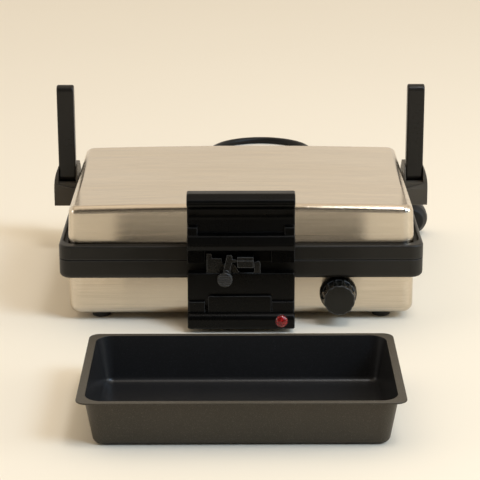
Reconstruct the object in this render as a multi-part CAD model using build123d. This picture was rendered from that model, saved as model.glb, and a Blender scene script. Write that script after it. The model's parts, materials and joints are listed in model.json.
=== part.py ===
"""Electric multi grill: a hinged pair of ribbed plates in pressed steel shells, with its baking pan.

Millimetres, +Z up. While the pieces are made, Y = 0 is the front face of the rims and Z = 0 the table.
"""
from build123d import *
import math
import os

os.makedirs("parts", exist_ok=True)

# Fits
running = 0.05
seat_gap = 0.3
side_gap = 0.3

# Rims: two plastic frames that meet at the split
rim_width = 376.0
rim_depth = 276.0
rim_corner = 13.0
split_z = 70.1
base_rim_height = 19.9
lid_rim_height = 15.6
rim_low_round = 5.0
rim_top_round = 2.2
shell_seat = 6.0
trough_width = 5.0
split_round = 0.7
shadow_gap = 0.8
shadow_depth = 3.0

# Steel shells
shell_side_inset = 8.5
shell_front_inset = 12.0
sheet = 1.0
shell_corner = 13.0
foot_height = 7.0
base_edge = 9.0
base_opening_width = 256.0
base_opening_depth = 156.0
lid_height = 55.2
lid_crown = 2.5
lid_draft = 2.5
lid_edge = 7.5

# Grill plates and what lies behind them
plate_width = 330.0
plate_depth = 234.0
plate_corner = 10.0
plate_play = 2.0
plate_gap = 7.0
flange_thick = 3.0
flange_below_split = 4.0
plate_body_inset = 8.0
plate_body_depth = 7.0
well_width = 296.0
well_depth = 200.0
well_floor = 4.0
rib_pitch = 12.0
rib_foot = 5.0
rib_tip = 2.6
rib_channel = 7.0
ledge_thick = 4.0
ledge_width = 8.0
element_diameter = 7.0
element_width = 270.0
element_depth = 176.0
element_bend = 24.0
element_tails = 44.0
tail_length = 15.0
reflector_clearance = 3.0
reflector_sheet = 0.8
clip_width = 14.0
clip_spread = 200.0
clip_thick = 1.6

# Feet and bottom cover
foot_diameter = 19.0
foot_spread_x = 295.0
foot_inset_y = 33.4
foot_screw = 4.0
foot_screw_head = 8.4
screw_head_thick = 2.4
screw_length = 12.0
screw_slot = 1.0
cover_lap = 10.0
cover_sheet = 1.2
vent_count = 9
vent_width = 4.0
vent_length = 60.0
vent_pitch = 18.0

# Handle blocks at the front
block_width = 109.6
block_reach = 27.0
upper_block_top = 147.0
upper_block_low = 87.5
lower_block_top = 62.0
lower_block_low = 4.3
skirt_reach = 10.0
skirt_window_left = -37.0
skirt_window_right = 31.0
panel_left = -33.7
panel_right = 30.8
panel_top = 38.2
ledge_top = 31.8
panel_proud = 2.6
tab_width = 10.5
tab_height = 8.5
block_end_round = 1.6
lamp_x = 41.3
lamp_z = 13.2
lens_diameter = 12.6
lens_proud = 3.2

# Thermostat
knob_x = 101.0
knob_z = 30.1
knob_skirt = 39.2
knob_grip = 34.4
knob_face = 32.0
knob_depth = 22.0
knob_stand_off = 1.5
knob_skirt_depth = 5.0
knob_flutes = 12
flute_round = 9.0
flute_depth = 0.5
shaft_diameter = 6.0
bush_diameter = 10.0
thermostat_diameter = 34.0
thermostat_depth = 24.0

# Latch
latch_pivot_x = -15.0
latch_pivot_z = 64.0
latch_pin = 3.0
latch_pin_tail = 1.5
bracket_back = 15.0
bracket_thick = 2.0
bracket_left = -35.0
bracket_right = 19.7
bracket_seat = 8.0
post_high = 82.6
post_step = 77.9
post_low = 72.0
valley_start = -2.0
valley_end = 13.4
prong_high = 75.2
lever_back = 19.0
lever_thick = 2.4
nose_reach = 10.6
nose_low = 75.3
nose_high = 77.5
finger_top = 82.6
thumb_pad = 15.4
thumb_pad_thick = 3.4
thumb_pad_left = 1.5
thumb_pad_drop = 6.7
keeper_left = -3.7
keeper_right = 12.6
keeper_low = 69.8
keeper_high = 80.6
keeper_ledge = 1.8
keeper_notch = 5.6
keeper_notch_high = 6.2
keeper_face = 1.4
keeper_step = 3.4

# Terminal block and thermal fuse
terminal_width = 40.0
terminal_deep = 16.0
terminal_high = 20.0
terminal_clear = 6.0
terminal_pitch = 13.0
fuse_diameter = 6.0
fuse_length = 24.0
fuse_x = 52.0
fuse_strap = 6.0

# Rear corners: hinge housings and folding side handles
inner_cheek = 1.6
outer_cheek = 4.8
housing_low = 58.0
housing_top = 101.5
housing_lap = 36.0
housing_overhang = 26.0
housing_wall_low = 77.0
housing_wall_high = 84.0
housing_wall = 3.6
shoulder_z = 81.0
shoulder_in = 4.3
handle_width = 19.4
handle_thick = 14.0
handle_inset = 19.0
handle_top = 197.0
handle_pivot_z = 91.7
handle_round = 1.8
pivot_pin = 5.0
pivot_pin_cover = 1.6
hinge_outset = 12.0
hinge_z = 76.0
hinge_pin = 6.0
hinge_pin_cover = 8.0
hinge_pin_tail = 1.5
hinge_eye = 9.0
arm_thick = 8.0
arm_run = 40.0
arm_plate = 4.0

# Mains lead
cord_diameter = 9.0
gland_x = -60.0
gland_z = 21.0
gland_flange = 14.0
gland_flange_thick = 2.5
gland_length = 28.0
plug_x = 204.0
plug_y = 318.0
plug_face = 39.0
plug_depth = 26.0
plug_back = 14.0
plug_pin = 4.8
plug_pin_pitch = 19.0
plug_pin_length = 19.0
plug_grip = 42.0
plug_notch = 3.6
plug_notch_turn = 19.0

# Baking pan
pan_width = 289.4
pan_depth = 174.0
pan_height = 45.0
pan_front = -321.0
pan_side_flange = 7.2
pan_end_flange = 5.6
pan_corner = 10.5
pan_foot_corner = 8.0
pan_draft = 10.0
pan_sheet = 1.2
pan_bottom_round = 6.5

# Worked out from the sizes above
mid_y = rim_depth / 2
shell_width = rim_width - 2 * shell_side_inset
shell_depth = rim_depth - 2 * shell_front_inset
base_rim_low = split_z - base_rim_height
lid_rim_top = split_z + lid_rim_height
base_shell_top = base_rim_low + shell_seat
lid_shell_low = lid_rim_top - shell_seat
lid_top = split_z + lid_height
rim_side = rim_width / 2
housing_front = rim_depth - housing_lap
housing_back = rim_depth + housing_overhang
handle_y = rim_depth - handle_inset
hinge_y = rim_depth + hinge_outset
y_shift = -(pan_front + housing_back) / 2
lid_side = Plane.XY.offset(split_z)
reflector_width = plate_width + 2 * (plate_play - ledge_width - reflector_clearance)
reflector_depth = plate_depth + 2 * (plate_play - ledge_width - reflector_clearance)
housing_inner = rim_side + side_gap
cheek_in = housing_inner + inner_cheek
slot_out = cheek_in + handle_width + 2 * side_gap + running
housing_outer = slot_out + outer_cheek


def save(name, *solids):
    """Write one node, moved so that Y = 0 is the middle of the grill and its pan."""
    placed = [Pos(0, y_shift, 0) * solid for solid in solids]
    shape = placed[0] if len(placed) == 1 else Compound(children=placed)
    export_step(shape, f"parts/{name}.step")


def outline(corners):
    """A closed flat outline from (across, up, corner radius) triples."""
    points = [(across, up) for across, up, _ in corners]
    radii = [radius for _, _, radius in corners]
    return make_face(FilletPolyline(*points, radius=radii, close=True))


def block(width, depth, low, high, corner, draft=0.0):
    """An upright block with rounded plan corners, centred on the grill."""
    plan = Plane.XY.offset(low) * Pos(0, mid_y) * RectangleRounded(width, depth, corner)
    return extrude(plan, amount=high - low, taper=draft)


def along_x(corners, width, centre=0.0):
    """A side profile in Y and Z, extruded across the grill."""
    profile = Plane.YZ.offset(centre) * outline(corners)
    return extrude(profile, amount=width / 2, both=True)


def along_y(corners, front, back):
    """A front outline in X and Z, as thick as the way from front to back."""
    profile = Plane.XZ.offset(-back) * outline(corners)
    return extrude(profile, amount=back - front)


def rod_x(diameter, x_from, x_to, y, z):
    """A round bar across the grill."""
    disc = Plane.YZ.offset(x_from) * Pos(y, z) * Circle(diameter / 2)
    return extrude(disc, amount=x_to - x_from)


def rod_y(diameter, front, back, x, z):
    """A round bar from front to back."""
    disc = Plane.XZ.offset(-back) * Pos(x, z) * Circle(diameter / 2)
    return extrude(disc, amount=back - front)


def box(x_from, x_to, front, back, low, high):
    """A square block between three pairs of faces."""
    centre = ((x_from + x_to) / 2, (front + back) / 2, (low + high) / 2)
    return Pos(*centre) * Box(x_to - x_from, back - front, high - low)


def edges_at(solid, height):
    """The edges that lie level at a height."""
    return [e for e in solid.edges() if abs(e.bounding_box().min.Z - height) < 0.01
            and abs(e.bounding_box().max.Z - height) < 0.01]


def in_lid(solid):
    """What lies below the split, as its twin above it."""
    return mirror(solid, about=lid_side)


def base_shell():
    """Pressed steel tub, open where the bottom cover lies."""
    outer = block(shell_width, shell_depth, foot_height, base_shell_top, shell_corner)
    outer = fillet(edges_at(outer, foot_height), base_edge)
    inner_low = foot_height + sheet
    inner = block(shell_width - 2 * sheet, shell_depth - 2 * sheet, inner_low,
                  base_shell_top, shell_corner - sheet)
    inner = fillet(edges_at(inner, inner_low), base_edge - sheet)
    tub = outer - inner
    tub -= block(base_opening_width, base_opening_depth, foot_height, inner_low, shell_corner)
    tub -= rod_y(bush_diameter + 2 * running, shell_front_inset, shell_front_inset + sheet,
                 knob_x, knob_z)
    tub -= rod_y(cord_diameter + 3.0, shell_front_inset + shell_depth - sheet,
                 shell_front_inset + shell_depth, gland_x, gland_z)
    for x, y in foot_places():
        tub -= Pos(x, y, foot_height + sheet / 2) * Cylinder(foot_screw / 2 + running, sheet)
    return tub


def lid_form(width, depth, top, corner, edge):
    """The lid's drafted block with its crowned top and rounded edge."""
    form = block(width, depth, lid_shell_low, top + lid_crown, corner, lid_draft)
    arc_radius = ((width / 2) ** 2 + lid_crown ** 2) / (2 * lid_crown)
    low = lid_shell_low - sheet
    side = top - arc_radius + math.sqrt(arc_radius ** 2 - width ** 2)
    crown = make_face([
        Polyline((-width, side), (-width, low), (width, low), (width, side)),
        ThreePointArc((width, side), (0, top), (-width, side)),
    ])
    form = form & extrude(Plane.XZ.offset(-2 * rim_depth) * crown, amount=3 * rim_depth)
    return fillet(form.faces().sort_by(Axis.Z)[-1].edges(), edge)


def lid_shell():
    """Pressed steel lid, open below."""
    outer = lid_form(shell_width, shell_depth, lid_top, shell_corner, lid_edge)
    inner = lid_form(shell_width - 2 * sheet, shell_depth - 2 * sheet, lid_top - sheet,
                     shell_corner - sheet, lid_edge - sheet)
    return outer - inner


def rim_openings():
    """What every rim leaves open: the plate's bay, the ledge's hole and the bay behind it."""
    bay_width = plate_width + 2 * plate_play
    bay_depth = plate_depth + 2 * plate_play
    ledge_up = split_z - flange_below_split - flange_thick
    ledge_down = ledge_up - ledge_thick
    bay = block(bay_width, bay_depth, ledge_up, split_z, plate_corner)
    hole = block(bay_width - 2 * ledge_width, bay_depth - 2 * ledge_width, ledge_down, ledge_up,
                 plate_corner)
    behind = block(bay_width, bay_depth, base_rim_low, ledge_down, plate_corner)
    return bay + hole + behind


def clip_notches():
    """Pockets in a rim's front and rear walls for the plate clips."""
    notches = []
    for x in (-clip_spread / 2, clip_spread / 2):
        for side in (-1, 1):
            wall = mid_y + side * (plate_depth / 2 + plate_play)
            far = wall + side * (clip_thick + 2 * seat_gap + 0.6)
            low = split_z - flange_below_split - flange_thick
            notches.append(box(x - clip_width / 2 - 1.0, x + clip_width / 2 + 1.0,
                               min(wall, far) - 0.01, max(wall, far) + 0.01, low, split_z))
    return notches


def base_rim():
    """Lower plastic frame: the steel tub stands in its groove and the plate on its ledge."""
    ring = block(rim_width, rim_depth, base_rim_low, split_z, rim_corner)
    ring = fillet(edges_at(ring, base_rim_low), rim_low_round)
    ring = fillet(edges_at(ring, split_z), split_round)
    ring -= rim_openings()
    groove = block(shell_width + 2 * side_gap, shell_depth + 2 * side_gap, base_rim_low,
                   base_shell_top, shell_corner + side_gap)
    groove -= block(shell_width - 2 * sheet - 2 * side_gap, shell_depth - 2 * sheet - 2 * side_gap,
                    base_rim_low, base_shell_top, shell_corner - sheet - side_gap)
    ring -= groove
    for notch in clip_notches():
        ring -= notch
    return ring


def lid_rim():
    """Upper plastic frame: a raised outer lip, a trough, and the steel lid standing in it."""
    ring = block(rim_width, rim_depth, split_z, lid_rim_top, rim_corner)
    ring = fillet(edges_at(ring, lid_rim_top), rim_top_round)
    line_high = split_z + shadow_gap
    ring -= block(rim_width, rim_depth, split_z, line_high, rim_corner) - block(
        rim_width - 2 * shadow_depth, rim_depth - 2 * shadow_depth, split_z, line_high, rim_corner)
    behind = split_z + flange_below_split + flange_thick + ledge_thick
    ring -= in_lid(rim_openings() & box(-rim_width, rim_width, 0, rim_depth, split_z * 2 - behind, split_z))
    ring -= block(plate_width + 2 * plate_play, plate_depth + 2 * plate_play, behind, lid_rim_top,
                  plate_corner)
    trough = block(shell_width + 2 * trough_width, shell_depth + 2 * trough_width, lid_shell_low,
                   lid_rim_top, shell_corner + trough_width)
    trough -= block(shell_width - 2 * sheet - 2 * side_gap, shell_depth - 2 * sheet - 2 * side_gap,
                    lid_shell_low, lid_rim_top, shell_corner - sheet - side_gap)
    ring -= trough
    for notch in clip_notches():
        ring -= in_lid(notch)
    return ring


def lower_plate():
    """Cast grill plate: a flange on the rim's ledge, a ribbed well, and a channel round the ribs."""
    top = split_z - flange_below_split
    flange_low = top - flange_thick
    inset = plate_body_inset + plate_play * 2
    plate = block(plate_width, plate_depth, flange_low, top, plate_corner)
    plate += block(plate_width - 2 * inset, plate_depth - 2 * inset, flange_low - plate_body_depth,
                   flange_low, plate_corner)
    floor = flange_low - well_floor
    plate -= block(well_width, well_depth, floor, top, plate_corner)
    count = int((well_width - 2 * rib_channel) / rib_pitch)
    rib_top = split_z - plate_gap / 2
    half = well_depth / 2 - rib_channel
    for number in range(count):
        x = (number - (count - 1) / 2) * rib_pitch
        rib = along_y([(x - rib_foot / 2, floor, 0), (x + rib_foot / 2, floor, 0),
                       (x + rib_tip / 2, rib_top, 0), (x - rib_tip / 2, rib_top, 0)],
                      mid_y - half, mid_y + half)
        plate += rib
    return plate


def lower_element():
    """Tubular heating element, bent round under the plate with both tails turned down."""
    z = (split_z - flange_below_split - flange_thick - plate_body_depth - seat_gap
         - element_diameter / 2)
    across = element_width / 2
    front = mid_y - element_depth / 2
    back = mid_y + element_depth / 2
    tail = element_tails / 2
    path = FilletPolyline((tail, back, z - tail_length), (tail, back, z), (across, back, z),
                          (across, front, z), (-across, front, z), (-across, back, z),
                          (-tail, back, z), (-tail, back, z - tail_length),
                          radius=[element_diameter] + [element_bend] * 4 + [element_diameter])
    return sweep(Plane(origin=path @ 0, z_dir=path % 0) * Circle(element_diameter / 2), path=path)


def lower_reflector():
    """Pressed reflector tray under the element, hung from the rim's ledge by its flange."""
    flange_high = split_z - flange_below_split - flange_thick - ledge_thick
    floor = (split_z - flange_below_split - flange_thick - plate_body_depth - 2 * seat_gap
             - element_diameter)
    tray = block(plate_width, plate_depth, flange_high - reflector_sheet, flange_high, plate_corner)
    tray += block(reflector_width, reflector_depth, floor - reflector_sheet, flange_high, plate_corner)
    tray -= block(reflector_width - 2 * reflector_sheet, reflector_depth - 2 * reflector_sheet, floor,
                  flange_high, plate_corner - reflector_sheet)
    for side in (-1, 1):
        place = (side * element_tails / 2, mid_y + element_depth / 2, floor - reflector_sheet / 2)
        tray -= Pos(*place) * Cylinder(element_diameter / 2 + 2.5, 3 * reflector_sheet)
    return tray


def lower_clips():
    """Sprung clips that stand in the rim's pockets and hook over the plate's flange."""
    top = split_z - flange_below_split
    low = top - flange_thick
    clips = []
    for x in (-clip_spread / 2, clip_spread / 2):
        for side in (-1, 1):
            wall = plate_depth / 2 + plate_play
            hook = [(wall + seat_gap, low, 0), (wall + seat_gap + clip_thick, low, 0),
                    (wall + seat_gap + clip_thick, top + seat_gap + clip_thick, 0.9),
                    (wall - 3.6, top + seat_gap + 1.0, 0.4), (wall - 3.6, top + seat_gap, 0),
                    (wall + seat_gap, top + seat_gap, 0.3)]
            turned = [(mid_y + side * y, z, radius) for y, z, radius in hook]
            clips.append(along_x(turned, clip_width, x))
    return clips


def foot_places():
    """Centres of the four feet."""
    return [(sx * foot_spread_x / 2, y) for y in (foot_inset_y, rim_depth - foot_inset_y)
            for sx in (-1, 1)]


def feet():
    """Rubber feet with a counterbore for the screw."""
    made = []
    for x, y in foot_places():
        foot = Pos(x, y, foot_height / 2) * Cylinder(foot_diameter / 2, foot_height)
        foot = fillet(edges_at(foot, 0), 1.2)
        foot -= Pos(x, y, foot_height / 2) * Cylinder(foot_screw / 2 + running, foot_height)
        foot -= Pos(x, y, foot_height / 4) * Cylinder(foot_screw_head / 2 + running, foot_height / 2)
        made.append(foot)
    return made


def foot_screws():
    """Pan-head screws that hold the feet to the tub."""
    made = []
    seat = foot_height / 2
    head_low = seat - screw_head_thick
    for x, y in foot_places():
        head = Pos(x, y, seat - screw_head_thick / 2) * Cylinder(foot_screw_head / 2, screw_head_thick)
        head = fillet(edges_at(head, head_low), screw_head_thick / 3)
        head -= Pos(x, y, head_low + screw_slot / 2) * Box(0.6 * foot_screw_head, screw_slot, screw_slot)
        shank = Pos(x, y, seat + screw_length / 2) * Cylinder(foot_screw / 2, screw_length)
        made.append(head + shank)
    return made


def bottom_cover():
    """Flat steel cover over the tub's opening, with rows of vent slots."""
    low = foot_height + sheet
    cover = block(base_opening_width + 2 * cover_lap, base_opening_depth + 2 * cover_lap, low,
                  low + cover_sheet, shell_corner)
    for number in range(vent_count):
        x = (number - (vent_count - 1) / 2) * vent_pitch
        for side in (-1, 1):
            slot = Pos(x, mid_y + side * vent_length * 0.6) * SlotOverall(vent_length, vent_width,
                                                                         rotation=90)
            cover -= extrude(Plane.XY.offset(low) * slot, amount=cover_sheet)
    return cover


def upper_handle():
    """Moulded grip on the lid: hooked top lip, finger scoop, roll along its foot, latch skirt."""
    back = shell_front_inset - seat_gap
    reach = -block_reach
    low = upper_block_low
    top = upper_block_top
    profile = [(0, split_z + 0.4, 0), (-skirt_reach, split_z + 0.4, 0.6), (-skirt_reach, low, 0),
               (reach + 3.5, low, 2.5), (reach + 0.6, low + 6.5, 5.0), (reach + 3.0, low + 16.5, 3.0),
               (reach + 12.5, low + 17.0, 2.5), (reach + 15.5, low + 33.0, 14.0),
               (reach + 12.5, top - 16.0, 7.0), (reach + 0.5, top - 12.0, 4.6),
               (reach, top - 6.0, 4.6), (reach + 8.0, top - 0.2, 5.5), (reach + 22.0, top, 6.0),
               (reach + 28.0, top - 12.0, 10.0), (back - 4.0, lid_top + 6.0, 12.0),
               (back, lid_top - 6.0, 6.0), (back, lid_rim_top + seat_gap, 0),
               (0, lid_rim_top + seat_gap, 0)]
    grip = along_x(profile, block_width)
    sides = [f for f in grip.faces() if abs(f.center().X) > block_width / 2 - 0.01]
    rounded = [e for f in sides for e in f.edges()
               if e.center().Y < -skirt_reach - 0.5 and e.center().Z > low + 0.1]
    grip = fillet(rounded, block_end_round)
    grip -= box(skirt_window_left, skirt_window_right, -skirt_reach, -skirt_reach / 2 + 1.0,
                split_z + 0.4, low - 2.0)
    tab_low = low + 16.0
    for side in (-1, 1):
        outer = side * (block_width / 2 - 0.8)
        inner = side * (block_width / 2 - tab_width)
        tab = box(min(inner, outer), max(inner, outer), reach + 5.0, reach + 16.0, tab_low,
                  tab_low + tab_height)
        tab = fillet(tab.edges().filter_by(Axis.Y), 0.7)
        grip += tab
    return grip


def lid_keeper():
    """Steel catch on the lid: the lever's nose turns into its notch, over the ledge."""
    front = -(lever_back + lever_thick)
    width = keeper_notch
    corners = [(keeper_left, keeper_low, 0.4), (keeper_right, keeper_low, 0.6),
               (keeper_right, keeper_high, 0.6), (keeper_left, keeper_high, 0.4),
               (keeper_left, keeper_low + keeper_ledge + keeper_notch_high, 0.3),
               (keeper_left + width, keeper_low + keeper_ledge + keeper_notch_high, 0.6),
               (keeper_left + width, keeper_low + keeper_ledge, 0.6),
               (keeper_left, keeper_low + keeper_ledge, 0.3)]
    keeper = along_y(corners, front - seat_gap, -skirt_reach / 2 + 1.0)
    whole = corners[:4]
    face = along_y(whole, front - seat_gap - keeper_face, front - seat_gap)
    face -= box(keeper_left, keeper_right, front - seat_gap - keeper_face, front - seat_gap - keeper_face / 2,
                keeper_high - keeper_step, keeper_high)
    return keeper + face


def lower_handle():
    """Moulded block on the base: flat top, finger scoop with stepped panels, bottom lip."""
    back = shell_front_inset
    reach = -block_reach
    top = lower_block_top
    low = lower_block_low
    face = reach + 9.0
    profile = [(0, top - 6.0, 0), (-6.0, top - 6.0, 0), (-6.0, top, 0.5), (face, top, 0.8),
               (face + 1.5, low + 24.0, 20.0), (face + 0.5, low + 17.0, 1.5),
               (reach, low + 16.6, 7.0), (reach, low, 3.2), (reach + 12.0, low - 0.01, 3.0),
               (back, low + 15.0, 3.0), (back, base_rim_low - seat_gap, 0),
               (0, base_rim_low - seat_gap, 0)]
    body = along_x(profile, block_width)
    sides = [f for f in body.faces() if abs(f.center().X) > block_width / 2 - 0.01]
    rounded = [e for f in sides for e in f.edges() if e.center().Y < face - 0.5]
    body = fillet(rounded, block_end_round)
    proud = face - panel_proud
    panel_low = low + 14.0
    panel = box(panel_left, panel_right, proud, face + 4.0, panel_low, panel_top)
    panel = fillet(panel.edges().filter_by(Axis.Y).group_by(Axis.Z)[-1], 2.0)
    body += panel
    shelf_end = block_width / 2 - 1.2
    for x_from, x_to in ((-shelf_end, panel_left - 3.6), (panel_right + 0.9, shelf_end)):
        body += box(x_from, x_to, proud + 0.6, face + 4.0, panel_low, ledge_top)
    pocket = rod_y(lens_diameter + 2 * running, reach - 1.0, reach + 6.0, lamp_x, lamp_z)
    bore = rod_y(lens_diameter - 4.0, reach + 5.0, 0.0, lamp_x, lamp_z)
    body -= pocket
    body -= bore
    slot_front = -(bracket_back + bracket_thick + running)
    body -= box(bracket_left - 0.5, bracket_right + 0.5, slot_front, -bracket_back + running,
                top - bracket_seat, top)
    return body


def pilot_lens():
    """Red domed lens pressed into the bottom lip."""
    reach = -block_reach
    stem = rod_y(lens_diameter, reach, reach + 6.0, lamp_x, lamp_z)
    radius = (lens_diameter / 2) ** 2 / (2 * lens_proud) + lens_proud / 2
    dome = Pos(lamp_x, reach - lens_proud + radius, lamp_z) * Sphere(radius)
    dome &= rod_y(lens_diameter, reach - lens_proud, reach, lamp_x, lamp_z)
    return stem + dome


def pilot_lamp():
    """Small neon lamp in the bore behind the lens."""
    reach = -block_reach
    bulb = rod_y(lens_diameter - 4.0 - 2 * seat_gap, reach + 6.0 + seat_gap, reach + 20.0, lamp_x, lamp_z)
    return fillet(bulb.edges().sort_by(Axis.Y)[0], 2.0)


def latch_bracket():
    """Stamped bracket in the lower block: a post with a prong, a valley and a tongue."""
    low = lower_block_top - bracket_seat
    valley = lower_block_top + 0.4
    left = bracket_left
    right = bracket_right
    corners = [(left, low, 0), (right, low, 0), (right, prong_high - 2.6, 1.6),
               (right - 2.1, prong_high, 1.2),
               (valley_end, prong_high - 2.0, 1.5), (valley_end, valley, 0.8), (valley_start, valley, 2.0),
               (valley_start - 4.4, post_low - 1.6, 1.5), (valley_start - 6.6, post_low, 1.0),
               (left + 16.0, post_low - 0.4, 0.6), (left + 15.0, post_step, 1.0),
               (left + 5.4, post_step, 1.0), (left + 4.4, post_high, 1.0), (left, post_high, 0.8)]
    plate = along_y(corners, -(bracket_back + bracket_thick), -bracket_back)
    hole = rod_y(latch_pin, -(bracket_back + bracket_thick), -bracket_back, latch_pivot_x, latch_pivot_z)
    return plate - hole


def latch_pin_part():
    """Headed pin that the lever turns on, riveted through the bracket."""
    front = -(lever_back + lever_thick)
    shank = rod_y(latch_pin - 2 * running, front - seat_gap, -bracket_back + latch_pin_tail,
                  latch_pivot_x, latch_pivot_z)
    head = rod_y(latch_pin + 2.6, front - seat_gap - 1.2, front - seat_gap, latch_pivot_x, latch_pivot_z)
    return shank + fillet(head.edges().sort_by(Axis.Y)[0], 0.6)


def latch_lever():
    """Catch lever: finger and nose above its pivot, ridged thumb pad below."""
    px = latch_pivot_x
    pz = latch_pivot_z
    front = -(lever_back + lever_thick)
    low = pz - thumb_pad_drop - 2.0
    corners = [(px - 3.4, low, 1.0), (px + 3.4, low, 1.0), (px + 4.2, pz + 5.0, 1.5),
               (px + 5.8, nose_low - 0.3, 1.5), (px + nose_reach, nose_low, 0.7),
               (px + nose_reach, nose_high, 0.9), (px + 6.4, nose_high + 0.4, 1.2),
               (px + 5.6, finger_top, 1.0), (px + 0.8, finger_top, 1.0),
               (px - 1.2, nose_low - 1.3, 3.0), (px - 3.0, pz + 1.0, 3.0)]
    arm = along_y(corners, front, -lever_back)
    arm -= rod_y(latch_pin, front, -lever_back, px, pz)
    pad_z = pz - thumb_pad_drop
    pad = rod_y(thumb_pad, front - 1.0 - thumb_pad_thick, -lever_back, px - thumb_pad_left, pad_z)
    pad = fillet(pad.edges().sort_by(Axis.Y)[0], 1.2)
    pad -= box(px - 10.0, px + 10.0, front - seat_gap - 1.6, 0.0, pz - 3.4, pz + 4.0)
    for number in range(5):
        z = pad_z + (number - 2) * 2.5
        pad -= box(px - 10.0, px + 10.0, front - 2.0 - thumb_pad_thick, front - 0.3 - thumb_pad_thick,
                   z - 0.5, z + 0.5)
    return arm + pad


def thermostat():
    """Thermostat can behind the front wall, with its bush through the wall."""
    wall = shell_front_inset + sheet
    can = rod_y(thermostat_diameter, wall + 3.0, wall + 3.0 + thermostat_depth, knob_x, knob_z)
    can = fillet(can.edges().sort_by(Axis.Y)[-1], 3.0)
    flange = rod_y(thermostat_diameter - 12.0, wall, wall + 3.0, knob_x, knob_z)
    bush = rod_y(bush_diameter, shell_front_inset - 1.0, wall, knob_x, knob_z)
    tabs = box(knob_x - 8.0, knob_x - 5.0, wall + 3.0 + thermostat_depth, wall + 11.0 + thermostat_depth,
               knob_z - 3.0, knob_z + 3.0)
    tabs += box(knob_x + 5.0, knob_x + 8.0, wall + 3.0 + thermostat_depth,
                wall + 11.0 + thermostat_depth, knob_z - 3.0, knob_z + 3.0)
    body = can + flange + bush + tabs
    return body - rod_y(shaft_diameter + 2 * running, 0.0, wall + 14.0, knob_x, knob_z)


def thermostat_shaft():
    """Shaft with a flat, from inside the thermostat to inside the knob."""
    front = shell_front_inset - knob_stand_off - knob_depth + 6.0
    back = shell_front_inset + sheet + 13.5
    shaft = rod_y(shaft_diameter, front, back, knob_x, knob_z)
    flat = box(knob_x - 4.0, knob_x + 4.0, front, shell_front_inset - 2.0, knob_z + shaft_diameter / 2 - 1.2,
               knob_z + shaft_diameter)
    return shaft - flat


def control_knob():
    """Skirted knob with a scalloped grip that tapers to a flat face."""
    back = shell_front_inset - knob_stand_off
    front = back - knob_depth
    step = back - knob_skirt_depth
    profile = outline([(0, 0, 0), (knob_skirt / 2, 0, 0.6), (knob_skirt / 2 - 1.4, back - step, 1.2),
                       (knob_grip / 2 + 0.4, back - step + 0.6, 1.0), (knob_face / 2, back - front, 1.0),
                       (0, back - front, 0)])
    turned = revolve(Plane.XY * profile, Axis.Y)
    knob = Pos(knob_x, back, knob_z) * (Rot(180, 0, 0) * turned)
    for number in range(knob_flutes):
        angle = 360.0 * number / knob_flutes
        radius = knob_face / 2 + flute_round / 2 - flute_depth
        x = knob_x + radius * math.cos(math.radians(angle))
        z = knob_z + radius * math.sin(math.radians(angle))
        knob -= rod_y(flute_round, front - 1.0, step - 1.6, x, z)
    socket = rod_y(shaft_diameter, front + 6.0, back, knob_x, knob_z)
    flat = box(knob_x - 4.0, knob_x + 4.0, front, back - 0.5, knob_z + shaft_diameter / 2 - 1.2,
               knob_z + shaft_diameter)
    return knob - (socket - flat)


def hinge_housing(side):
    """Rear corner housing: a fork for the side handle in front, the lid's hinge boss behind."""
    shoulder = housing_outer - shoulder_in
    front_view = make_face([
        Polyline((shoulder, housing_top), (housing_inner, housing_top), (housing_inner, housing_low),
                 (housing_outer, housing_low), (housing_outer, shoulder_z)),
        ThreePointArc((housing_outer, shoulder_z), (housing_outer - 1.0, (shoulder_z + housing_top) / 2),
                      (shoulder, housing_top)),
    ])
    body = extrude(Plane.XZ.offset(-housing_back) * front_view, amount=housing_back - housing_front)
    boss = hinge_eye + 5.0
    side_view = [(housing_front, housing_low, 2.0), (hinge_y + boss - 2.0, housing_low, 4.0),
                 (housing_back, hinge_z - 4.0, 8.0), (housing_back, hinge_z + 10.0, 8.0),
                 (hinge_y - 4.0, housing_top, 8.0), (handle_y - 8.0, housing_top, 6.0),
                 (housing_front, housing_wall_low, 0)]
    body &= along_x(side_view, 2 * housing_outer)
    slot_back = handle_y + handle_thick / 2 + seat_gap
    slot_low = handle_pivot_z - handle_thick / 2 - 2 * side_gap
    body -= box(cheek_in, slot_out, housing_front + housing_wall, slot_back, slot_low, housing_top)
    lip = along_y([(housing_inner, housing_wall_low, 0), (housing_outer, housing_wall_high, 0),
                   (housing_outer, housing_top, 0), (housing_inner, housing_top, 0)],
                  housing_front - 1.0, housing_front + housing_wall)
    body -= lip
    body += box(rim_side, housing_inner, housing_front + 4.0, rim_depth - rim_corner,
                housing_low + 1.0, split_z - 0.6)
    body -= rod_x(pivot_pin, rim_side, housing_outer - pivot_pin_cover, handle_y, handle_pivot_z)
    body -= rod_x(hinge_pin, rim_side, housing_outer - hinge_pin_cover, hinge_y, hinge_z)
    return body if side > 0 else mirror(body, about=Plane.YZ)


def side_handle(side):
    """Flat bar with round ends that folds forward from upright."""
    half = handle_thick / 2
    across = (cheek_in + side_gap, cheek_in + side_gap + handle_width)
    low = handle_pivot_z - half
    centre = (across[0] + across[1]) / 2
    bar = along_x([(handle_y - half, low, half - 0.01), (handle_y + half, low, half - 0.01),
                   (handle_y + half, handle_top, half - 0.01), (handle_y - half, handle_top, half - 0.01)],
                  handle_width, centre)
    ends = [f for f in bar.faces() if abs(f.center().X - centre) > handle_width / 2 - 0.01]
    bar = fillet([e for f in ends for e in f.edges()], handle_round)
    bar -= rod_x(pivot_pin + 2 * running, across[0], across[1], handle_y, handle_pivot_z)
    return bar if side > 0 else mirror(bar, about=Plane.YZ)


def handle_pins():
    """Steel pins of the side handles."""
    right = rod_x(pivot_pin, housing_inner, housing_outer - pivot_pin_cover, handle_y, handle_pivot_z)
    return [mirror(right, about=Plane.YZ), right]


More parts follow.
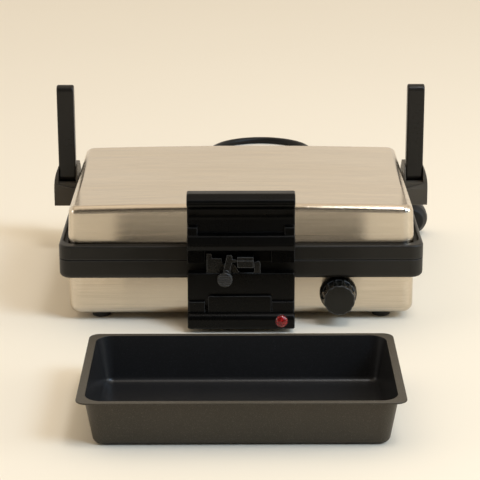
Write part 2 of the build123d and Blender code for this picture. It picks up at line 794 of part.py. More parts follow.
def lid_hinge_arms():
    """Steel arms screwed to the back of the lid's rim, each with an eye for its pin."""
    eye_out = rim_side
    eye_in = rim_side - arm_thick
    made = []
    for side in (-1, 1):
        low = split_z + 1.2
        high = lid_rim_top - 1.6
        eye = rod_x(2 * hinge_eye, eye_in, eye_out, hinge_y, hinge_z)
        web = box(eye_in, eye_out, rim_depth, hinge_y, low, high)
        plate = box(eye_in - arm_run, eye_out, rim_depth, rim_depth + arm_plate, low, high)
        plate = fillet(plate.edges().filter_by(Axis.Y).group_by(Axis.X)[0], 3.0)
        arm = plate + web + eye
        arm -= rod_x(hinge_pin + 2 * running, eye_in, eye_out, hinge_y, hinge_z)
        made.append(arm if side > 0 else mirror(arm, about=Plane.YZ))
    return made


def hinge_pins():
    """Steel pins from the housings through the lid's hinge arms."""
    right = rod_x(hinge_pin, rim_side - arm_thick - hinge_pin_tail, housing_outer - hinge_pin_cover,
                  hinge_y, hinge_z)
    right = fillet(right.edges().sort_by(Axis.X)[0], 0.8)
    return [mirror(right, about=Plane.YZ), right]


def arm_screws():
    """Two screw heads on each hinge arm."""
    made = []
    z = (split_z + lid_rim_top) / 2
    back = rim_depth + arm_plate
    for side in (-1, 1):
        for number in (0, 1):
            x = side * (rim_side - arm_thick - arm_run + 8.0 + 20.0 * number)
            head = rod_y(7.0, back, back + 2.2, x, z)
            head = fillet(head.edges().sort_by(Axis.Y)[-1], 0.9)
            head -= box(x - 2.4, x + 2.4, back + 1.4, back + 2.4, z - 0.5, z + 0.5)
            made.append(head)
    return made


def strain_relief():
    """Tapered rubber sleeve with a flange, its bore holding the lead."""
    wall = shell_front_inset + shell_depth
    neck = cord_diameter / 2 + 1.4
    profile = outline([(0, -sheet - 4.0, 0), (gland_flange / 2 - 1.2, -sheet - 4.0, 0.4),
                       (gland_flange / 2 - 1.2, -sheet - 1.0, 0), (neck, -sheet - 1.0, 0),
                       (neck, 0, 0), (gland_flange / 2, 0, 0),
                       (gland_flange / 2, gland_flange_thick, 0.8),
                       (cord_diameter / 2 + 2.2, gland_flange_thick + 0.6, 0.6),
                       (cord_diameter / 2 + 0.8, gland_length, 0.4), (0, gland_length, 0)])
    sleeve = revolve(Plane.XY * profile, Axis.Y)
    for number in range(4):
        y = 6.5 + 5.0 * number
        ring = Pos(0, y, 0) * Rot(90, 0, 0) * (Cylinder(gland_flange, 1.4)
                                              - Cylinder(cord_diameter / 2 + 1.1 - 0.1 * number, 1.4))
        sleeve -= ring
    return Pos(gland_x, wall, gland_z) * sleeve


def cord_route():
    """Points of the lead, from the strain relief, out behind the grill, round and back to the plug."""
    start = shell_front_inset + shell_depth + gland_length
    table = cord_diameter / 2
    outlet = plug_x - plug_grip
    high = plug_face / 2
    return [(gland_x, start, gland_z), (gland_x, start + 26, gland_z),
            (gland_x - 1.5, start + 66, table + 0.1), (-67, 412, table), (-70, 478, table),
            (-69, 550, table), (-64.5, 630, table),
            (-39.6, 702.1, table), (-21.5, 733.5, table), (9.9, 751.6, table), (46.1, 751.6, table),
            (77.5, 733.5, table), (95.6, 702.1, table), (99, 648, table), (92, 588, table),
            (80, 526, table), (64, 470, table), (52, 418, table), (50, plug_y + 45.4, table),
            (66.6, plug_y + 16.6, table), (95.4, plug_y, table + 0.1), (outlet - 26, plug_y, high),
            (outlet, plug_y, high)]


def mains_cord():
    """Round lead as straight runs joined by arcs as large as the runs allow."""
    points = [Vector(*p) for p in cord_route()]
    radii = []
    for before, here, after in zip(points, points[1:], points[2:]):
        turn = (here - before).get_angle(after - here)
        run = min((here - before).length, (after - here).length)
        radii.append(0.45 * run / math.tan(math.radians(turn / 2)))
    path = FilletPolyline(*points, radius=radii)
    tube = sweep(Plane(origin=path @ 0, z_dir=path % 0) * Circle(cord_diameter / 2), path=path)
    print("cord radii", [round(r) for r in radii], "length", round(path.length))
    print("cord volume over section times length",
          round(tube.volume / (math.pi * cord_diameter ** 2 / 4 * path.length), 4))
    return tube


def mains_plug():
    """Round two-pin plug with its back to the grill, its lead leaving sideways."""
    half = plug_face / 2
    front = -plug_back
    rim = plug_depth - plug_back
    profile = outline([(0, front, 0), (half - 6.5, front, 3.0), (half - 1.5, front + 7.0, 4.0),
                       (half, front + 13.0, 2.0), (half, rim, 1.2), (0, rim, 0)])
    plug = Pos(plug_x, plug_y, half) * revolve(Plane.XY * profile, Axis.Y)
    for turn in (plug_notch_turn, 180.0 - plug_notch_turn):
        reach = half + plug_notch / 4
        x = plug_x + reach * math.cos(math.radians(turn))
        z = half + reach * math.sin(math.radians(turn))
        plug -= rod_y(plug_notch, plug_y + front, plug_y + rim - 4.0, x, z)
    taper = Cone(7.5, cord_diameter / 2 + 1.0, plug_grip - half + 3.0)
    middle = plug_x - (plug_grip + half - 3.0) / 2
    return plug + Pos(middle, plug_y, half) * Rot(0, -90, 0) * taper


def plug_pins():
    """The plug's two round pins, side by side and pointing away from the grill."""
    face = plug_y + plug_depth - plug_back
    made = []
    for side in (-1, 1):
        pin = rod_y(plug_pin, face, face + plug_pin_length, plug_x + side * plug_pin_pitch / 2, plug_face / 2)
        made.append(fillet(pin.edges().sort_by(Axis.Y)[-1], 1.6))
    return made


def terminal_block():
    """Ceramic terminal block on the floor of the tub, between its cover and the back wall."""
    low = foot_height + sheet
    front = mid_y + base_opening_depth / 2 + cover_lap + terminal_clear
    back = front + terminal_deep
    left = gland_x + gland_flange
    body = box(left, left + terminal_width, front, back, low, low + terminal_high)
    for number in (-1, 0, 1):
        x = left + terminal_width / 2 + number * terminal_pitch
        body -= Pos(x, (front + back) / 2, low + terminal_high - 3.0) * Cylinder(2.6, 6.0)
        body -= rod_y(5.0, front, back, x, low + 8.0)
    return body


def thermal_fuse():
    """Fuse in its sleeve, clipped under the reflector."""
    floor = (split_z - flange_below_split - flange_thick - plate_body_depth - 2 * seat_gap
             - element_diameter - reflector_sheet)
    z = floor - fuse_diameter / 2 - 1.0
    sleeve = rod_x(fuse_diameter, fuse_x - fuse_length / 2, fuse_x + fuse_length / 2, mid_y, z)
    strap = box(fuse_x - fuse_strap / 2, fuse_x + fuse_strap / 2, mid_y - 5.0, mid_y + 5.0, z, floor)
    return fillet(sleeve.edges(), 0.8) + strap


def baking_pan():
    """Thin drafted pan with a flat flange, rounded corners and a rounded bottom edge."""
    centre = pan_front + pan_depth / 2
    lean = math.tan(math.radians(pan_draft)) * pan_height
    mouth_w = pan_width - 2 * pan_side_flange
    mouth_d = pan_depth - 2 * pan_end_flange

    def form(grow, low, edge):
        foot_w = mouth_w - 2 * lean + 2 * grow
        foot_d = mouth_d - 2 * lean + 2 * grow
        plan = RectangleRounded(foot_w, foot_d, pan_foot_corner + grow)
        foot = Plane.XY.offset(low) * Pos(0, centre) * plan
        tub = extrude(foot, amount=pan_height - low, taper=-pan_draft)
        return fillet(edges_at(tub, low), edge)

    outer = form(pan_sheet, 0.0, pan_bottom_round)
    inner = form(0.0, pan_sheet, pan_bottom_round - pan_sheet)
    flange = extrude(Plane.XY.offset(pan_height - pan_sheet) * Pos(0, centre)
                     * RectangleRounded(pan_width, pan_depth, pan_corner), amount=pan_sheet)
    flange = fillet(edges_at(flange, pan_height), 0.5)
    return outer + flange - inner


save("base_shell", base_shell())
save("bottom_cover", bottom_cover())
save("base_rim", base_rim())
save("feet", *feet())
save("foot_screws", *foot_screws())
save("lower_grill_plate", lower_plate())
save("lower_heating_element", lower_element())
save("lower_reflector", lower_reflector())
save("lower_plate_clips", *lower_clips())
save("lower_handle_block", lower_handle())
save("pilot_lens", pilot_lens())
save("pilot_lamp", pilot_lamp())
save("latch_bracket", latch_bracket())
save("latch_pivot_pin", latch_pin_part())
save("latch_lever", latch_lever())
save("thermostat", thermostat())
save("thermostat_shaft", thermostat_shaft())
save("control_knob", control_knob())
save("terminal_block", terminal_block())
save("thermal_fuse", thermal_fuse())
save("hinge_housing_left", hinge_housing(-1))
save("hinge_housing_right", hinge_housing(1))
save("side_handle_left", side_handle(-1))
save("side_handle_right", side_handle(1))
save("side_handle_pins", *handle_pins())
save("lid_hinge_pins", *hinge_pins())
save("lid_shell", lid_shell())
save("lid_rim", lid_rim())
save("upper_grill_plate", in_lid(lower_plate()))
save("upper_heating_element", in_lid(lower_element()))
save("upper_reflector", in_lid(lower_reflector()))
save("upper_plate_clips", *[in_lid(clip) for clip in lower_clips()])
save("upper_handle_block", upper_handle())
save("lid_keeper", lid_keeper())
save("lid_hinge_arms", *lid_hinge_arms())
save("hinge_arm_screws", *arm_screws())
save("strain_relief", strain_relief())
save("mains_cord", mains_cord())
save("mains_plug", mains_plug())
save("plug_pins", *plug_pins())
save("baking_pan", baking_pan())
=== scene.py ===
import json
import math

import bpy
from mathutils import Euler, Matrix, Vector


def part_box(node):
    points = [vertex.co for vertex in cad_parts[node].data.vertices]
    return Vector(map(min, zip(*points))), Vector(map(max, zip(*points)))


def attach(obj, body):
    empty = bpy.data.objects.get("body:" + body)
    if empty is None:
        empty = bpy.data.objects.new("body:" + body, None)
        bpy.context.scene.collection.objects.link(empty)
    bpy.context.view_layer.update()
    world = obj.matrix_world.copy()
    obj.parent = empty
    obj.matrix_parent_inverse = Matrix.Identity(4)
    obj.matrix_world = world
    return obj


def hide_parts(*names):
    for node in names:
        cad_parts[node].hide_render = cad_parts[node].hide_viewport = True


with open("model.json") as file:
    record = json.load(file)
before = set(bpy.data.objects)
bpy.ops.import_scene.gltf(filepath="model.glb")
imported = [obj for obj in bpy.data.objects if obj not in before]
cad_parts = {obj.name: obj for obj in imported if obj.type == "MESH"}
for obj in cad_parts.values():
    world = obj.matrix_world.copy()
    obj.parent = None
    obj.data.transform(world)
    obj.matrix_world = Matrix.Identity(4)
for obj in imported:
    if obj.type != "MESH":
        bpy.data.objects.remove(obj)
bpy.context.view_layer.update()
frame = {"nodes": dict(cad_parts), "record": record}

scene = bpy.context.scene
nodes = frame["nodes"]


# Nodes of a material

noise_range = (0.3, 0.7)  # nearly all of a noise's values lie between these
on_flat = 0.95  # what the occlusion node gives on a flat face, and at a sharp edge
on_edge = 0.55


def shade(colour, times, plus=0.0):
    """A colour made lighter or darker."""
    return tuple(c * times + plus for c in colour)


class Finish:
    """A node material, with short ways to add to its shader."""

    def __init__(self, name, **values):
        """Values go to the shader's sockets, named with _ for each space."""
        self.material = bpy.data.materials.new(name)
        self.material.use_nodes = True
        self.tree = self.material.node_tree
        self.shader = self.tree.nodes["Principled BSDF"]
        for socket, value in values.items():
            self.shader.inputs[socket.replace("_", " ")].default_value = value

    def add(self, kind, **settings):
        """A new node, with its settings."""
        node = self.tree.nodes.new(kind)
        for name, value in settings.items():
            setattr(node, name, value)
        return node

    def link(self, source, target):
        """Joins an output to an input."""
        self.tree.links.new(source, target)

    def drive(self, source, socket):
        """Feeds one of the shader's own sockets."""
        self.link(source, self.shader.inputs[socket])

    def place(self, stretch=(1, 1, 1)):
        """Points of the surface in the part's own frame, stretched along the axes."""
        where = self.add("ShaderNodeTexCoord")
        mapping = self.add("ShaderNodeMapping")
        mapping.inputs["Scale"].default_value = stretch
        self.link(where.outputs["Object"], mapping.inputs["Vector"])
        return mapping.outputs["Vector"]

    def noise(self, scale, detail, stretch=(1, 1, 1), rough=0.5):
        """Noise of so many waves to a metre, times the stretch along each axis."""
        node = self.add("ShaderNodeTexNoise")
        node.inputs["Scale"].default_value = scale
        node.inputs["Detail"].default_value = detail
        node.inputs["Roughness"].default_value = rough
        self.link(self.place(stretch), node.inputs["Vector"])
        return node.outputs["Fac"]

    def spread(self, value, low, high, to_low=0.0, to_high=1.0):
        """A value's stretch from low to high, laid out from to_low to to_high."""
        node = self.add("ShaderNodeMapRange")
        node.inputs["From Min"].default_value = low
        node.inputs["From Max"].default_value = high
        node.inputs["To Min"].default_value = to_low
        node.inputs["To Max"].default_value = to_high
        self.link(value, node.inputs["Value"])
        return node.outputs["Result"]

    def blend(self, factor, first, second):
        """Between two colours, each a tuple or an output."""
        node = self.add("ShaderNodeMix", data_type="RGBA")
        self.link(factor, node.inputs["Factor"])
        for colour, socket in ((first, node.inputs[6]), (second, node.inputs[7])):
            if isinstance(colour, tuple):
                socket.default_value = (*colour, 1.0)
            else:
                self.link(colour, socket)
        return node.outputs[2]

    def math(self, operation, first, second):
        """Of two values, each a number or an output."""
        node = self.add("ShaderNodeMath", operation=operation)
        for value, socket in ((first, node.inputs[0]), (second, node.inputs[1])):
            if isinstance(value, (int, float)):
                socket.default_value = value
            else:
                self.link(value, socket)
        return node.outputs[0]

    def bump(self, height, distance, strength, under=None):
        """Relief of a height, laid over the normals under it."""
        node = self.add("ShaderNodeBump")
        node.inputs["Strength"].default_value = strength
        node.inputs["Distance"].default_value = distance
        self.link(height, node.inputs["Height"])
        if under is not None:
            self.link(under, node.inputs["Normal"])
        return node.outputs["Normal"]

    def edge_highlight_mask(self, reach):
        """Mask for a painted highlight on the edges: 0 on flat faces, rising to 1 at the outer edges,
        within a reach of them.
        """
        node = self.add("ShaderNodeAmbientOcclusion", inside=True, only_local=True, samples=8)
        node.inputs["Distance"].default_value = reach
        return self.spread(node.outputs["AO"], on_flat, on_edge)

    def soft_edges(self, radius):
        """Normals that round the edges off."""
        node = self.add("ShaderNodeBevel", samples=4)
        node.inputs["Radius"].default_value = radius
        return node.outputs["Normal"]


# Finishes, one for each material slot

def brushed_steel(name, colour, roughness, streak):
    """Steel brushed from side to side: fine streaks in colour, gloss and relief."""
    along = 10  # streaks to a metre, along the brushing and across it
    across = 800
    relief = 0.000006
    edge = 0.0006
    finish = Finish(name, Metallic=1.0, Anisotropic=1.0, Anisotropic_Rotation=0.25)
    facing = finish.add("ShaderNodeTexCoord")
    parts = finish.add("ShaderNodeSeparateXYZ")
    finish.link(facing.outputs["Normal"], parts.inputs["Vector"])
    sideways = finish.math("ABSOLUTE", parts.outputs["X"], 0.0)
    on_side = finish.spread(sideways, 0.6, 0.9)
    along_x = finish.noise(1.0, 4.0, (along, across, across), 0.6)
    along_y = finish.noise(1.0, 4.0, (across, along, across), 0.6)
    grain = finish.add("ShaderNodeMix", data_type="FLOAT")
    finish.link(on_side, grain.inputs["Factor"])
    finish.link(along_x, grain.inputs[2])
    finish.link(along_y, grain.inputs[3])
    streaks = grain.outputs[0]
    patches = finish.noise(14.0, 3.0, (0.4, 1, 1))
    tone = finish.math("ADD", finish.spread(streaks, *noise_range, -streak, streak),
                       finish.spread(patches, *noise_range, 0.46, 0.54))
    finish.drive(finish.blend(tone, shade(colour, 0.8), shade(colour, 1.2)), "Base Color")
    finish.drive(finish.math("ADD", finish.spread(streaks, *noise_range, -0.05, 0.05),
                             finish.spread(patches, 0.2, 0.8, roughness - 0.03, roughness + 0.03)),
                 "Roughness")
    finish.drive(finish.bump(streaks, relief, 0.6, finish.soft_edges(edge)), "Normal")

    # The tangent follows the brushing, which runs along X, and along Y on the two sides
    upright = finish.add("ShaderNodeCombineXYZ")
    upright.inputs["Z"].default_value = 1.0
    finish.link(finish.math("SUBTRACT", 1.0, sideways), upright.inputs["Y"])
    tangent = finish.add("ShaderNodeVectorMath", operation="CROSS_PRODUCT")
    finish.link(facing.outputs["Normal"], tangent.inputs[0])
    finish.link(upright.outputs["Vector"], tangent.inputs[1])
    turned = finish.add("ShaderNodeVectorTransform", vector_type="VECTOR", convert_from="OBJECT",
                        convert_to="WORLD")
    finish.link(tangent.outputs["Vector"], turned.inputs["Vector"])
    finish.drive(turned.outputs["Vector"], "Tangent")
    return finish.material


def moulded(name, colour, roughness, grain, depth, specular=0.5, edge=0.0005, coat=0.0, painted_edge_highlight=0.0,
            reach=0.0006):
    """Moulded plastic or rubber: fine grain, cloudy gloss, and, where given, a painted highlight that
    lightens the edges.
    """
    finish = Finish(name, Specular_IOR_Level=specular, Coat_Weight=coat, Coat_Roughness=0.12)
    fine = finish.noise(grain, 2.0)
    cloud = finish.noise(25.0, 3.0)
    dark = shade(colour, 0.85)
    light = shade(colour, 1.25, 0.0005)
    tone = finish.blend(finish.spread(cloud, *noise_range), dark, light)
    # Where an amount is given, the outer edges are painted lighter: a painted highlight, not real wear
    if painted_edge_highlight:
        tone = finish.blend(finish.edge_highlight_mask(reach), tone, shade(colour, 1.0, painted_edge_highlight))
    finish.drive(tone, "Base Color")
    finish.drive(finish.math("ADD", finish.spread(cloud, *noise_range, roughness - 0.04, roughness + 0.04),
                             finish.spread(fine, *noise_range, -0.04, 0.04)), "Roughness")
    finish.drive(finish.bump(fine, depth, 0.7, finish.soft_edges(edge)), "Normal")
    return finish.material


def metal(name, colour, roughness, grain=300.0, tint=None):
    """Plain metal part: cloudy tone, small scratches, softened edges."""
    depth = 0.00002
    edge = 0.0003
    finish = Finish(name, Metallic=1.0)
    cloud = finish.noise(60.0, 4.0)
    fine = finish.noise(grain, 3.0, (1, 1, 0.2))
    other = tint or shade(colour, 0.8)
    finish.drive(finish.blend(finish.spread(cloud, 0.35, 0.65), other, colour), "Base Color")
    finish.drive(finish.spread(fine, 0.2, 0.8, roughness - 0.07, roughness + 0.07), "Roughness")
    finish.drive(finish.bump(fine, depth, 0.6, finish.soft_edges(edge)), "Normal")
    return finish.material


def painted(name, colour, roughness, grain=900.0, edge=0.0004, painted_edge_highlight=0.0):
    """Coated metal: fine orange peel, tiny speckles, and, where given, a painted highlight that lightens
    the edges.
    """
    depth = 0.00003
    reach = 0.0007
    finish = Finish(name)
    fine = finish.noise(grain, 2.0)
    speck = finish.noise(grain * 1.7, 1.0)
    tone = finish.blend(finish.spread(speck, 0.55, 0.75), colour, shade(colour, 1.5, 0.004))
    # Where an amount is given, the outer edges are painted lighter: a painted highlight, not real wear
    if painted_edge_highlight:
        tone = finish.blend(finish.edge_highlight_mask(reach), tone, shade(colour, 1.0, painted_edge_highlight))
    finish.drive(tone, "Base Color")
    finish.drive(finish.spread(fine, *noise_range, roughness - 0.05, roughness + 0.05), "Roughness")
    finish.drive(finish.bump(fine, depth, 0.6, finish.soft_edges(edge)), "Normal")
    return finish.material


def pan_coating():
    """The pan's two coats: taupe satin outside and on the flange, black non-stick inside."""
    black = (0.009, 0.009, 0.0095)
    black_speck = (0.04, 0.04, 0.042)
    taupe = (0.029, 0.023, 0.013)
    pale_taupe = (0.037, 0.029, 0.018)
    taupe_speck = (0.10, 0.085, 0.062)
    black_roughness = 0.34
    taupe_roughness = 0.42
    below_flange = 0.005
    low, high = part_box("baking_pan")
    centre = ((low.x + high.x) / 2, (low.y + high.y) / 2, high.z - below_flange)
    finish = Finish("pan_coating", Specular_IOR_Level=0.4)

    # Inside are the faces that look at the middle of the opening, a little below the flange
    where = finish.add("ShaderNodeTexCoord")
    inward = finish.add("ShaderNodeVectorMath", operation="SUBTRACT")
    inward.inputs[0].default_value = centre
    finish.link(where.outputs["Object"], inward.inputs[1])
    facing = finish.add("ShaderNodeVectorMath", operation="DOT_PRODUCT")
    finish.link(inward.outputs["Vector"], facing.inputs[0])
    finish.link(where.outputs["Normal"], facing.inputs[1])
    inside = finish.spread(facing.outputs["Value"], -0.001, 0.002)

    speck = finish.noise(1500.0, 1.0)
    cloud = finish.noise(18.0, 3.0)
    inner = finish.blend(finish.spread(speck, 0.6, 0.8), black, black_speck)
    outer = finish.blend(finish.spread(cloud, *noise_range), taupe, pale_taupe)
    outer = finish.blend(finish.spread(speck, 0.55, 0.85), outer, taupe_speck)
    finish.drive(finish.blend(inside, outer, inner), "Base Color")
    roughness = finish.math("ADD", finish.spread(cloud, *noise_range, -0.03, 0.03),
                            finish.spread(inside, 0.0, 1.0, taupe_roughness, black_roughness))
    finish.drive(roughness, "Roughness")
    peel = finish.noise(700.0, 2.0)
    finish.drive(finish.bump(peel, 0.00006, 0.6, finish.soft_edges(0.0008)), "Normal")
    return finish.material


def grill_coating():
    """Cast plate under a dark speckled non-stick coat."""
    dark = (0.016, 0.016, 0.017)
    light = (0.024, 0.024, 0.025)
    fleck = (0.14, 0.14, 0.145)
    finish = Finish("grill_coating", Specular_IOR_Level=0.6)
    speck = finish.noise(900.0, 1.0)
    cloud = finish.noise(20.0, 3.0)
    base = finish.blend(finish.spread(cloud, *noise_range), dark, light)
    finish.drive(finish.blend(finish.spread(speck, 0.58, 0.72), base, fleck), "Base Color")
    finish.drive(finish.spread(cloud, *noise_range, 0.3, 0.4), "Roughness")
    cast = finish.noise(500.0, 3.0)
    finish.drive(finish.bump(cast, 0.0001, 0.6, finish.soft_edges(0.0006)), "Normal")
    return finish.material


def red_lens():
    """Clear red lens, with small prisms moulded in its back."""
    bright = (0.70, 0.018, 0.020)
    deep = (0.22, 0.003, 0.004)
    prisms_to_metre = 420.0
    finish = Finish("lens_red", Transmission_Weight=0.4, IOR=1.49, Roughness=0.16,
                    Specular_IOR_Level=0.25, Coat_Weight=0.2, Coat_Roughness=0.04)
    low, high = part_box("pilot_lens")
    where = finish.add("ShaderNodeTexCoord")
    shift = finish.add("ShaderNodeMapping")
    shift.inputs["Location"].default_value = (-(low.x + high.x) / 2, 0, -(low.z + high.z) / 2)
    finish.link(where.outputs["Object"], shift.inputs["Vector"])
    prisms = finish.add("ShaderNodeTexVoronoi")
    prisms.inputs["Scale"].default_value = prisms_to_metre
    finish.link(shift.outputs["Vector"], prisms.inputs["Vector"])
    tone = finish.spread(prisms.outputs["Distance"], 0.1, 0.6)
    finish.drive(finish.blend(tone, bright, deep), "Base Color")
    finish.drive(finish.bump(prisms.outputs["Distance"], 0.0004, 0.25), "Normal")
    return finish.material


def lamp_glass():
    """Glass of the small neon lamp, a little orange."""
    pale = (1.0, 0.85, 0.75)
    orange = (1.0, 0.7, 0.55)
    finish = Finish("lamp_glass", Transmission_Weight=0.9, IOR=1.5, Roughness=0.05)
    cloud = finish.spread(finish.noise(300.0, 2.0), *noise_range)
    finish.drive(finish.blend(cloud, pale, orange), "Base Color")
    return finish.material


def woven_sleeve():
    """Sleeve of woven glass over the thermal fuse."""
    gap = (0.62, 0.58, 0.48)
    thread = (0.85, 0.82, 0.74)
    finish = Finish("fuse_sleeve", Sheen_Weight=0.3)
    weave = finish.add("ShaderNodeTexWave", bands_direction="DIAGONAL")
    weave.inputs["Scale"].default_value = 500.0
    weave.inputs["Distortion"].default_value = 0.6
    finish.link(finish.place(), weave.inputs["Vector"])
    finish.drive(finish.blend(weave.outputs["Fac"], gap, thread), "Base Color")
    finish.drive(finish.spread(weave.outputs["Fac"], 0.0, 1.0, 0.7, 0.9), "Roughness")
    finish.drive(finish.bump(weave.outputs["Fac"], 0.0003, 0.8), "Normal")
    return finish.material


# Where an edge amount is given, the outer edges get a painted highlight, that much lighter
moulded_looks = {
    "frame_plastic": dict(colour=(0.0105, 0.009, 0.0066), roughness=0.4, grain=1400.0, depth=0.00003,
                          specular=0.3, painted_edge_highlight=0.025, reach=0.0014),
    "handle_plastic": dict(colour=(0.0006, 0.0006, 0.0005), roughness=0.3, grain=900.0, depth=0.00001,
                           specular=0.13, edge=0.0012, painted_edge_highlight=0.06),
    "housing_plastic": dict(colour=(0.066, 0.055, 0.041), roughness=0.45, grain=1500.0, depth=0.00006,
                            specular=0.35),
    "side_handle_plastic": dict(colour=(0.0095, 0.008, 0.006), roughness=0.3, grain=1300.0,
                                depth=0.00003, specular=0.27, edge=0.0008),
    "knob_plastic": dict(colour=(0.0045, 0.0045, 0.003), roughness=0.22, grain=1200.0, depth=0.00002,
                         specular=0.28, edge=0.001, painted_edge_highlight=0.11, reach=0.0014),
    "foot_rubber": dict(colour=(0.014, 0.013, 0.012), roughness=0.7, grain=900.0, depth=0.00008),
    "terminal_ceramic": dict(colour=(0.72, 0.70, 0.64), roughness=0.25, grain=700.0, depth=0.00003,
                             coat=0.6),
    "cord_rubber": dict(colour=(0.008, 0.0075, 0.007), roughness=0.42, grain=900.0, depth=0.00004,
                        specular=0.2),
    "plug_rubber": dict(colour=(0.009, 0.0085, 0.008), roughness=0.42, grain=1100.0, depth=0.00005,
                        specular=0.25),
}
metal_looks = {
    "bottom_steel": dict(colour=(0.58, 0.58, 0.57), roughness=0.42),
    "element_steel": dict(colour=(0.24, 0.21, 0.18), roughness=0.42, grain=500.0,
                          tint=(0.16, 0.13, 0.15)),
    "reflector_metal": dict(colour=(0.78, 0.78, 0.79), roughness=0.28),
    "spring_steel": dict(colour=(0.55, 0.54, 0.52), roughness=0.3),
    "fastener_steel": dict(colour=(0.56, 0.56, 0.57), roughness=0.34),
    "thermostat_metal": dict(colour=(0.6, 0.6, 0.6), roughness=0.36),
    "pin_metal": dict(colour=(0.72, 0.70, 0.66), roughness=0.2),
}
# Where an edge amount is given, the outer edges get a painted highlight, that much lighter
painted_looks = {
    "arm_steel": dict(colour=(0.018, 0.018, 0.018), roughness=0.42),
    "latch_metal": dict(colour=(0.008, 0.0075, 0.006), roughness=0.28, grain=1100.0, edge=0.0006,
                        painted_edge_highlight=0.1),
}

finishes = {
    "steel_shell": brushed_steel("steel_shell", (0.615, 0.545, 0.45), roughness=0.18, streak=0.45),
    "grill_coating": grill_coating(),
    "lens_red": red_lens(),
    "lamp_glass": lamp_glass(),
    "fuse_sleeve": woven_sleeve(),
    "pan_coating": pan_coating(),
}
for make, looks in ((moulded, moulded_looks), (metal, metal_looks), (painted, painted_looks)):
    for slot, look in looks.items():
        finishes[slot] = make(slot, **look)

for entry in frame["record"]["subparts"]:
    mesh = nodes[entry["node"]].data
    mesh.materials.clear()
    mesh.materials.append(finishes[entry["material_slot"]])


# Mains lead

cord_diameter = 0.009
cord_exit = (-0.060, 0.3015, 0.021)
cord_points = [
    cord_exit, (-0.060, 0.3275, 0.021), (-0.0615, 0.3675, 0.0046), (-0.067, 0.4215, 0.0045),
    (-0.070, 0.4875, 0.0045), (-0.069, 0.5595, 0.0045), (-0.0645, 0.6395, 0.0045),
    (-0.0396, 0.7116, 0.0045), (-0.0215, 0.743, 0.0045), (0.0099, 0.7611, 0.0045),
    (0.0461, 0.7611, 0.0045), (0.0775, 0.743, 0.0045), (0.0956, 0.7116, 0.0045),
    (0.099, 0.6575, 0.0045), (0.092, 0.5975, 0.0045), (0.080, 0.5355, 0.0045),
    (0.064, 0.4795, 0.0045), (0.052, 0.4275, 0.0045), (0.050, 0.3729, 0.0045),
    (0.0666, 0.3441, 0.0045), (0.0954, 0.3275, 0.0046), (0.136, 0.3275, 0.0195),
    (0.162, 0.3275, 0.0195),
]


def mains_lead():
    """The lead as one smooth line over its control points."""
    curve = bpy.data.curves.new("mains_lead", "CURVE")
    curve.dimensions = "3D"
    curve.bevel_depth = cord_diameter / 2
    curve.bevel_resolution = 6
    curve.use_fill_caps = True
    spline = curve.splines.new("NURBS")
    spline.points.add(len(cord_points) - 1)
    for point, place in zip(spline.points, cord_points):
        point.co = (*place, 1.0)
    spline.order_u = 3
    spline.use_endpoint_u = True
    spline.resolution_u = 12
    lead = bpy.data.objects.new("mains_lead", curve)
    scene.collection.objects.link(lead)
    curve.materials.append(finishes["cord_rubber"])
    return lead


lead = mains_lead()
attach(lead, "base")
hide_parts("mains_cord")


# Floor, light and camera

# The room's light by the upward share of its direction, 0 level and 1 straight up
room_light = {0.35: (1.05, 0.95, 0.81), 0.6: (0.70, 0.59, 0.45), 0.86: (1.14, 0.98, 0.78)}

# How much of that light there is, from straight before the grill, 0, to straight behind it, 1
room_share = {0.04: 0.2, 0.16: 0.03, 0.22: 0.03, 0.4: 1.0}

softboxes = {
    "key": dict(place=(4.26, -2.98, 4.68), size=2.4, power=240.0, colour=(0.54, 0.74, 1.0)),
    "right_edge": dict(place=(1.9, -0.35, 0.8), size=0.9, power=10.0, colour=(0.86, 0.95, 1.0)),
    "left_edge": dict(place=(-1.9, -0.25, 0.6), size=0.6, power=2.4, colour=(1.0, 0.97, 0.95)),
    "overhead": dict(place=(0.7, -0.95, 3.0), size=0.7, power=23.0, colour=(0.96, 0.97, 1.0)),
}

camera_place = (0.0, -1.7933, 0.6606)
camera_pitch = 17.5  # degrees below level
camera_roll = 0.15  # degrees
focal_length = 138.45  # in mm, and so is the sensor's width
sensor_width = 36.0
frame_shift = -0.0021  # share of the frame's width


def floor():
    """Pale seamless floor, wide enough to fill the view."""
    half = 6.0
    cream = (0.83, 0.755, 0.62)
    pale_cream = (0.85, 0.775, 0.64)
    corners = [(-half, -half, 0), (half, -half, 0), (half, half, 0), (-half, half, 0)]
    mesh = bpy.data.meshes.new("floor")
    mesh.from_pydata(corners, [], [(0, 1, 2, 3)])
    piece = bpy.data.objects.new("floor", mesh)
    scene.collection.objects.link(piece)
    finish = Finish("floor", Roughness=0.85, Specular_IOR_Level=0.2)
    cloud = finish.noise(1.5, 2.0)
    finish.drive(finish.blend(cloud, cream, pale_cream), "Base Color")
    mesh.materials.append(finish.material)


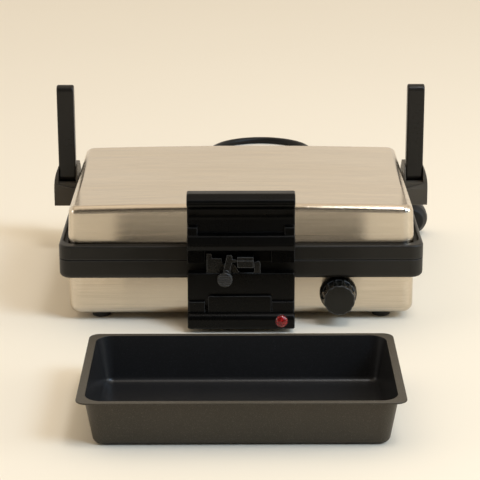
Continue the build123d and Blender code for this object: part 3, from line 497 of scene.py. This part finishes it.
def softbox(name, place, size, power, colour):
    """A square soft light that faces the frame's origin."""
    light = bpy.data.lights.new(name, "AREA")
    light.shape = "SQUARE"
    light.size = size
    light.energy = power
    light.color = colour
    lamp = bpy.data.objects.new(name, light)
    lamp.location = place
    lamp.rotation_euler = (-Vector(place)).to_track_quat("-Z", "Y").to_euler()
    scene.collection.objects.link(lamp)


def ramp(tree, stops):
    """A colour ramp through the colours at its stops, which rise."""
    node = tree.nodes.new("ShaderNodeValToRGB")
    marks = node.color_ramp.elements
    marks.remove(marks[-1])
    first, *others = stops
    marks[0].position = first
    for stop in others:
        marks.new(stop)
    for mark, colour in zip(marks, stops.values()):
        mark.color = (*colour, 1.0)
    return node


def surroundings():
    """Warm even light from the room, which is darker before the grill, most of all halfway up."""
    world = bpy.data.worlds.new("room")
    world.use_nodes = True
    tree = world.node_tree
    where = tree.nodes.new("ShaderNodeTexCoord")
    parts = tree.nodes.new("ShaderNodeSeparateXYZ")
    tree.links.new(where.outputs["Generated"], parts.inputs["Vector"])
    light = ramp(tree, room_light)
    tree.links.new(parts.outputs["Z"], light.inputs["Fac"])
    ahead = tree.nodes.new("ShaderNodeMapRange")
    ahead.inputs["From Min"].default_value = -1.0
    tree.links.new(parts.outputs["Y"], ahead.inputs["Value"])
    share = ramp(tree, {stop: (value, value, value) for stop, value in room_share.items()})
    tree.links.new(ahead.outputs["Result"], share.inputs["Fac"])
    background = tree.nodes["Background"]
    tree.links.new(share.outputs["Color"], background.inputs["Strength"])
    tree.links.new(light.outputs["Color"], background.inputs["Color"])
    scene.world = world


def camera():
    """The photograph's view: a long lens, pitched down at the grill."""
    lens = bpy.data.cameras.new("view")
    lens.lens = focal_length
    lens.sensor_width = sensor_width
    lens.shift_x = frame_shift
    lens.clip_end = 50.0
    view = bpy.data.objects.new("view", lens)
    view.location = camera_place
    pitch = Euler((math.radians(90.0 - camera_pitch), 0.0, 0.0)).to_matrix()
    roll = Matrix.Rotation(math.radians(-camera_roll), 3, "Z")
    view.rotation_euler = (pitch @ roll).to_euler()
    scene.collection.objects.link(view)
    scene.camera = view


floor()
surroundings()
for name, values in softboxes.items():
    softbox(name, **values)
camera()
scene.view_settings.view_transform = "Standard"
